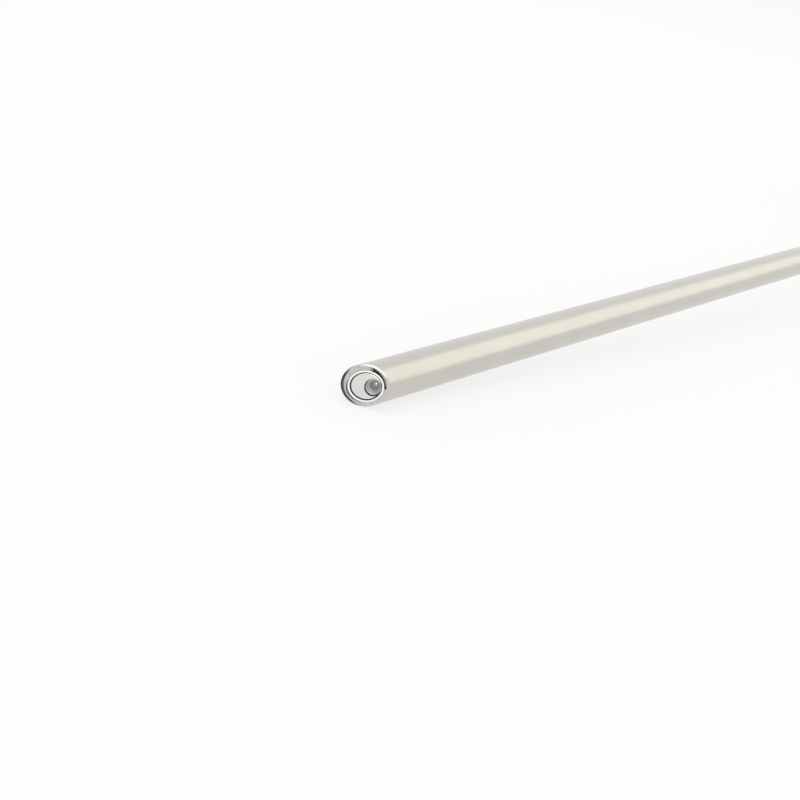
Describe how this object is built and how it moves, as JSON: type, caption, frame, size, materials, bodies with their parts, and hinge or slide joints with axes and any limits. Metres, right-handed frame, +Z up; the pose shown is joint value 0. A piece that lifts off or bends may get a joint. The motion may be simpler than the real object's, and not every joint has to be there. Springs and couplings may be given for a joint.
{
  "type": "rigid endoscope",
  "caption": "Slim straight steel viewing tube with a slanted lens face, a small body with a side light post and a flared black eyepiece.",
  "frame": {"origin": "centre of the bounding box, on the surface that the endoscope lies on", "axes": "+X from the tip towards the eyepiece, +Y towards the side of the light post, +Z up"},
  "size_m": [0.2451, 0.0429, 0.0321],
  "materials": {
    "satin_steel": "fine satin ground stainless steel, slightly warm",
    "polished_steel": "polished stainless steel",
    "blackened_steel": "matte black inside finish",
    "brass": "turned brass",
    "fibre_glass": "polished ends of packed glass fibres, grey-green",
    "lens_glass": "clear coated optical glass",
    "rubber_seal": "black rubber",
    "black_plastic": "fine matte black plastic",
    "view_colour": "coloured ring that marks the angle of view"
  },
  "bodies": {
    "root": {"adapter_seal": "rubber_seal", "body_shell": "satin_steel", "deflecting_prism": "lens_glass", "end_ring": "satin_steel", "eyepiece_cup": "black_plastic", "eyepiece_seal": "rubber_seal", "eyepiece_window": "lens_glass", "fibre_ferrule": "brass", "field_stop": "blackened_steel", "front_lens": "lens_glass", "inlet_window": "lens_glass", "light_adapter": "polished_steel", "light_fibres": "fibre_glass", "light_post": "satin_steel", "lock_screws": "polished_steel", "objective_cell": "polished_steel", "objective_lens": "lens_glass", "objective_spacer": "blackened_steel", "ocular_core": "blackened_steel", "ocular_lens": "lens_glass", "ocular_retainer": "blackened_steel", "ocular_spacer": "blackened_steel", "optic_tube": "polished_steel", "outer_tube": "satin_steel", "post_washer": "rubber_seal", "rod_lens_1": "lens_glass", "rod_lens_2": "lens_glass", "rod_lens_3": "lens_glass", "rod_lens_4": "lens_glass", "rod_lens_5": "lens_glass", "rod_lens_6": "lens_glass", "rod_spacer_1": "blackened_steel", "rod_spacer_2": "blackened_steel", "rod_spacer_3": "blackened_steel", "rod_spacer_4": "blackened_steel", "rod_spacer_5": "blackened_steel", "shaft_socket": "satin_steel", "socket_seal": "rubber_seal", "view_ring": "view_colour", "window_bezel": "blackened_steel"}
  },
  "joints": []
}
